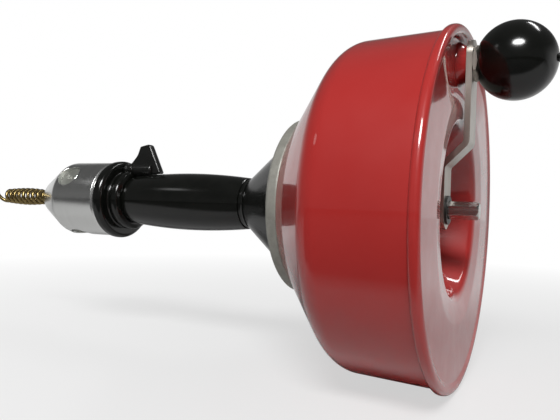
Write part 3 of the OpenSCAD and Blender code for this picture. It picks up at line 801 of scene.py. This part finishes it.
# Nose
CAVITY_R = 22.3
CAVITY_FRONT = 240.5
NOSE_CHAMFER = 1.2
NOSE_CONE_S = 264.0
NOSE_TIP_R = 11.4
MOUTH_R = 7.0
MOUTH_S = 277.0
NOSE_REAR = DISC_FRONT + 0.1
NOSE = [(CAVITY_R, NOSE_REAR, 0), (NOSE_R - NOSE_CHAMFER, NOSE_REAR, 0.3),
        (NOSE_R, NOSE_REAR + NOSE_CHAMFER, 0.4), (NOSE_R, NOSE_CONE_S, 8.0), (NOSE_TIP_R, NOSE_FRONT, 3.0),
        (MOUTH_R, NOSE_FRONT, 0.6), (MOUTH_R, MOUTH_S, 0),
        (CABLE_BORE_R, MOUTH_S, 0), (CABLE_BORE_R, CAVITY_FRONT, 0), (CAVITY_R, CAVITY_FRONT, 0)]


def at_pocket(angle, x, y, z):
    """Point given round a pocket's axis, which is its z, in mm."""
    return Matrix.Rotation(math.radians(angle), 3, "X") @ Vector((x - POCKET_S, y, z))


def nose():
    """Turned barrel and cone with three round pockets."""
    body = lathe("nose", rounded(NOSE), segments=256)
    for angle in POCKET_ANGLES:
        length, floor_z = 40.0, 0.5
        bm = bmesh.new()
        bmesh.ops.create_cone(bm, cap_ends=True, segments=128, radius1=POCKET_R * MM,
                              radius2=POCKET_R * MM, depth=length * MM)
        shift = Matrix.Translation((-POCKET_S * MM, 0, (floor_z + length / 2) * MM))
        bmesh.ops.transform(bm, matrix=Matrix.Rotation(math.radians(angle), 4, "X") @ shift, verts=bm.verts)
        carve(body, finish_mesh("cutter", bm))
    return body


dress(nose(), "handle", "bright_alu", "nose_housing")


def pocket_lip(number, angle):
    """Rounded edge where a pocket breaks through the barrel."""
    lip_r, sink, reach = 0.28, 0.2, POCKET_R + 0.12
    steps = 96
    path = []
    for i in range(steps + 1):
        a = math.tau * i / steps
        y = reach * math.sin(a)
        path.append(at_pocket(angle, reach * math.cos(a), y, math.sqrt(NOSE_R ** 2 - y ** 2) - sink))
    return wire(f"pocket_lip_{number}", path, lip_r, LIP_SIDES, (1, 0, 0))


for number, angle in enumerate(POCKET_ANGLES, 1):
    dress(pocket_lip(number, angle), "handle", "bright_alu")


# Cable

def round_axis(angle, r, s):
    """Point at an angle round the X axis, counted from the top."""
    a = math.radians(angle)
    return Vector((-s, r * math.sin(a), r * math.cos(a)))


def blend_curve(a, a_way, b, b_way, t):
    """Point on a cubic from a to b that leaves and arrives along the two ways."""
    u = 1 - t
    return u ** 3 * a + 3 * u * u * t * (a + a_way) + 3 * u * t * t * (b - b_way) + t ** 3 * b


def coil_path():
    """Two wound layers, the second lying loosely inside the first, and the run to the drum's axis."""
    outer_r, pitch, turns, rear = 82.2, 7.1, 4, 13.0
    start_angle, sag = 120.0, 7.0
    per_turn = 72
    layer, climb_rings = turns * per_turn, per_turn // 4
    out = []
    for i in range(2 * layer + climb_rings + 1):
        climb = max(0.0, min(1.0, (i - layer) / climb_rings))
        wound = 1 - i / layer if i <= layer else max(0, i - layer - climb_rings) / layer
        out.append(round_axis(start_angle + 360.0 * i / per_turn, outer_r - (pitch + sag) * climb,
                           rear + pitch * turns * wound) - Vector((0, 0, sag * climb)))
    start = out[-1]
    way = (out[-1] - out[-2]).normalized()
    end, arrival = Vector((-66.0, 0.0, 0.0)), Vector((-26.0, 0.0, 0.0))
    departure, run_steps = way * 44.0, 40
    run = [blend_curve(start, departure, end, arrival, i / run_steps) for i in range(1, run_steps + 1)]
    return out + run + [Vector((-LEAD_REAR, 0.0, 0.0))]


dress(wire("coiled_cable", coil_path(), CABLE_R, 12, (1, 0, 0)), "drum", "cable_steel", "cable_coil")


def spring_lead():
    """Close-wound spring wire round a plain core."""
    wire_r, pitch, per_turn = 0.74, 1.5, 16
    length = LEAD_FRONT - LEAD_REAR - 2 * wire_r
    count = int(length / pitch * per_turn)
    path = [round_axis(360.0 * i / per_turn, CABLE_R - wire_r, LEAD_REAR + wire_r + length * i / count)
            for i in range(count + 1)]
    bm = bmesh.new()
    swept(bm, path, wire_r, 6, (1, 0, 0))
    swept(bm, [Vector((-LEAD_REAR, 0, 0)), Vector((-LEAD_FRONT, 0, 0))], CABLE_R - wire_r, 24, (0, 0, 1))
    return finish_mesh("spring_lead", bm, sharp_angle=60.0)


dress(spring_lead(), "cable", "cable_steel", "cable_lead")


def tip_path():
    """Bulb-shaped helix that leaves the ferrule straight and ends in a hook."""
    rear_r, middle_r, front_r = 4.8, 6.4, 5.2
    pitch, per_turn, last = 4.85, 8, 76
    entry_rings, entry_length = 3, 3.2
    wire_d = 2 * TIP_WIRE_R

    def ring(i):
        t = i / last
        end_r = rear_r if t < 0.5 else front_r
        r = end_r + (middle_r - end_r) * math.sin(math.pi * t) - TIP_WIRE_R
        s = TIP_S + wire_d + entry_length + pitch * (i - entry_rings) / per_turn
        return round_axis(360.0 * i / per_turn, r, s)

    def way(i):
        return (ring(i + 0.1) - ring(i - 0.1)).normalized()

    start = round_axis(0, rear_r - TIP_WIRE_R, TIP_S)
    bend = start - Vector((wire_d, 0, 0))
    entry_way, entry_steps = Vector((-4, 0, 0)), 12
    entry = [blend_curve(bend, entry_way, ring(entry_rings), way(entry_rings) * 5, i / entry_steps)
             for i in range(1, entry_steps)]
    finer = 4
    helix = [ring(entry_rings + i / finer) for i in range((last - entry_rings) * finer + 1)]
    hook_end = Vector((-347.0, -3.4, 2.0))
    hook_way = Vector((-0.5, -0.1, 0.85)).normalized() * 3
    hook_steps = 16
    hook = [blend_curve(ring(last), way(last) * 4, hook_end, hook_way, i / hook_steps)
            for i in range(1, hook_steps + 1)]
    return [start, bend] + entry + helix + hook


dress(wire("auger", tip_path(), TIP_WIRE_R, 14, (0, 0, 1)), "cable", "tip_brass", "auger_tip")


# Studio: pale floor, surroundings that are white to the camera, three soft lamps. Lengths are in metres.

FLOOR_Z = -0.0925
MIDDLE = Vector((-0.08, 0.0, 0.0))
CAMERA_PLACE = (0.0561, -0.30907, 0.00218)
RIGHT = Vector((0.88827, 0.45837, 0.02962))
UP = Vector((-0.03333, 0.0, 0.99944))
FORWARD = Vector((-0.45811, 0.88876, -0.01528))

camera_data = bpy.data.cameras.new("camera")
camera_data.sensor_fit = "HORIZONTAL"
camera_data.sensor_width = 36.0
camera_data.lens = 38.0
camera_data.clip_start = 0.01
camera = bpy.data.objects.new("camera", camera_data)
bpy.context.scene.collection.objects.link(camera)
camera_turn = Matrix((RIGHT, UP, -FORWARD)).transposed().to_4x4()
camera.matrix_world = Matrix.Translation(CAMERA_PLACE) @ camera_turn
bpy.context.scene.camera = camera


def floor():
    """Pale floor that fades to white with distance. In reflections it is white paper, dark in front of it,
    and behind the object it glows like a lit backdrop.
    """
    half_size, centre_x = 4.0, -0.13
    white, dark = 0.58, 0.08
    edge_y, edge_width = 0.15, 0.03
    slant, slanted_y = 0.5, 0.05
    fade_start, fade_end, least_glow = 0.15, 0.75, 0.6
    backdrop_start, backdrop_end, backdrop_glow = 0.12, 0.4, 0.62
    bm = bmesh.new()
    bmesh.ops.create_grid(bm, x_segments=1, y_segments=1, size=half_size)
    bmesh.ops.translate(bm, verts=bm.verts, vec=(centre_x, 0.0, FLOOR_Z))
    obj = finish_mesh("floor", bm)
    material = bpy.data.materials.new("floor_white")
    material.use_nodes = True
    tree = material.node_tree
    tree.nodes.remove(tree.nodes["Principled BSDF"])
    link = tree.links.new
    numbers = Numbers(tree)
    matt = tree.nodes.new("ShaderNodeBsdfDiffuse")
    glow = tree.nodes.new("ShaderNodeEmission")
    glow.inputs["Strength"].default_value = 1.0
    place = tree.nodes.new("ShaderNodeTexCoord").outputs["Object"]
    axes = tree.nodes.new("ShaderNodeSeparateXYZ")
    link(place, axes.inputs["Vector"])
    x, y = axes.outputs["X"], axes.outputs["Y"]
    seen = tree.nodes.new("ShaderNodeLightPath")

    slanted_edge = numbers.combine("ADD", numbers.combine("MULTIPLY_ADD", x, -slant, y), slanted_y)
    on_paper = numbers.combine("MAXIMUM", numbers.combine("ADD", y, edge_y), slanted_edge)
    paper = numbers.spread(on_paper, 0.0, edge_width, dark, white)
    to_camera = numbers.combine("MULTIPLY", seen.outputs["Is Camera Ray"], white)
    link(numbers.combine("MAXIMUM", paper, to_camera), matt.inputs["Color"])

    away = tree.nodes.new("ShaderNodeVectorMath")
    away.operation = "LENGTH"
    link(place, away.inputs[0])
    fade = numbers.spread(away.outputs["Value"], fade_start, fade_end, least_glow, 1.0)
    shown = numbers.combine("MULTIPLY", fade, seen.outputs["Is Camera Ray"])
    # Glow seen only in reflections: behind the object the floor shines like a lit backdrop
    backdrop = numbers.spread(y, backdrop_start, backdrop_end, 0.0, backdrop_glow)
    glow_in_reflections = numbers.combine("MULTIPLY", backdrop, seen.outputs["Is Glossy Ray"])
    mix = tree.nodes.new("ShaderNodeMixShader")
    link(numbers.combine("MAXIMUM", shown, glow_in_reflections), mix.inputs["Fac"])
    link(matt.outputs["BSDF"], mix.inputs[1])
    link(glow.outputs["Emission"], mix.inputs[2])
    link(mix.outputs["Shader"], tree.nodes["Material Output"].inputs["Surface"])
    obj.data.materials.append(material)


def surroundings():
    """White to the camera. Elsewhere dim, with a bright backdrop low down behind the object."""
    dim, dark_front, bright_back = 0.09, 0.04, 0.70
    world = bpy.data.worlds.new("studio")
    bpy.context.scene.world = world
    world.use_nodes = True
    tree = world.node_tree
    link = tree.links.new
    numbers = Numbers(tree)
    way = tree.nodes.new("ShaderNodeSeparateXYZ")
    link(tree.nodes.new("ShaderNodeTexCoord").outputs["Generated"], way.inputs["Vector"])
    behind = numbers.spread(way.outputs["Y"], -0.2, 0.5, dark_front, bright_back, "SMOOTHSTEP")
    low_down = numbers.spread(way.outputs["Z"], 0.1, 0.5, 1.0, 0.0, "SMOOTHSTEP")
    level = numbers.combine("ADD", numbers.combine("MULTIPLY", behind, low_down), dim)
    seen = tree.nodes.new("ShaderNodeLightPath")
    background = tree.nodes["Background"].inputs
    link(numbers.combine("MAXIMUM", level, seen.outputs["Is Camera Ray"]), background["Strength"])
    background["Color"].default_value = (1.0, 1.0, 1.0, 1.0)


def soft_lamp(name, place, size, power):
    """Oval lamp turned to the middle of the object."""
    data = bpy.data.lights.new(name, "AREA")
    data.shape = "ELLIPSE"
    data.size, data.size_y = size
    data.energy = power
    lamp = bpy.data.objects.new(name, data)
    bpy.context.scene.collection.objects.link(lamp)
    lamp.location = place
    lamp.rotation_euler = (MIDDLE - Vector(place)).to_track_quat("-Z", "Y").to_euler()


floor()
surroundings()
soft_lamp("key", (0.20, -0.90, 0.84), (0.6, 0.36), 17.0)
soft_lamp("left_glint", (-1.085, -0.78, 0.907), (0.24, 0.18), 0.2)
soft_lamp("rim", (0.43, 0.57, 1.12), (0.7, 0.1), 2.6)

bpy.context.scene.view_settings.view_transform = "Standard"
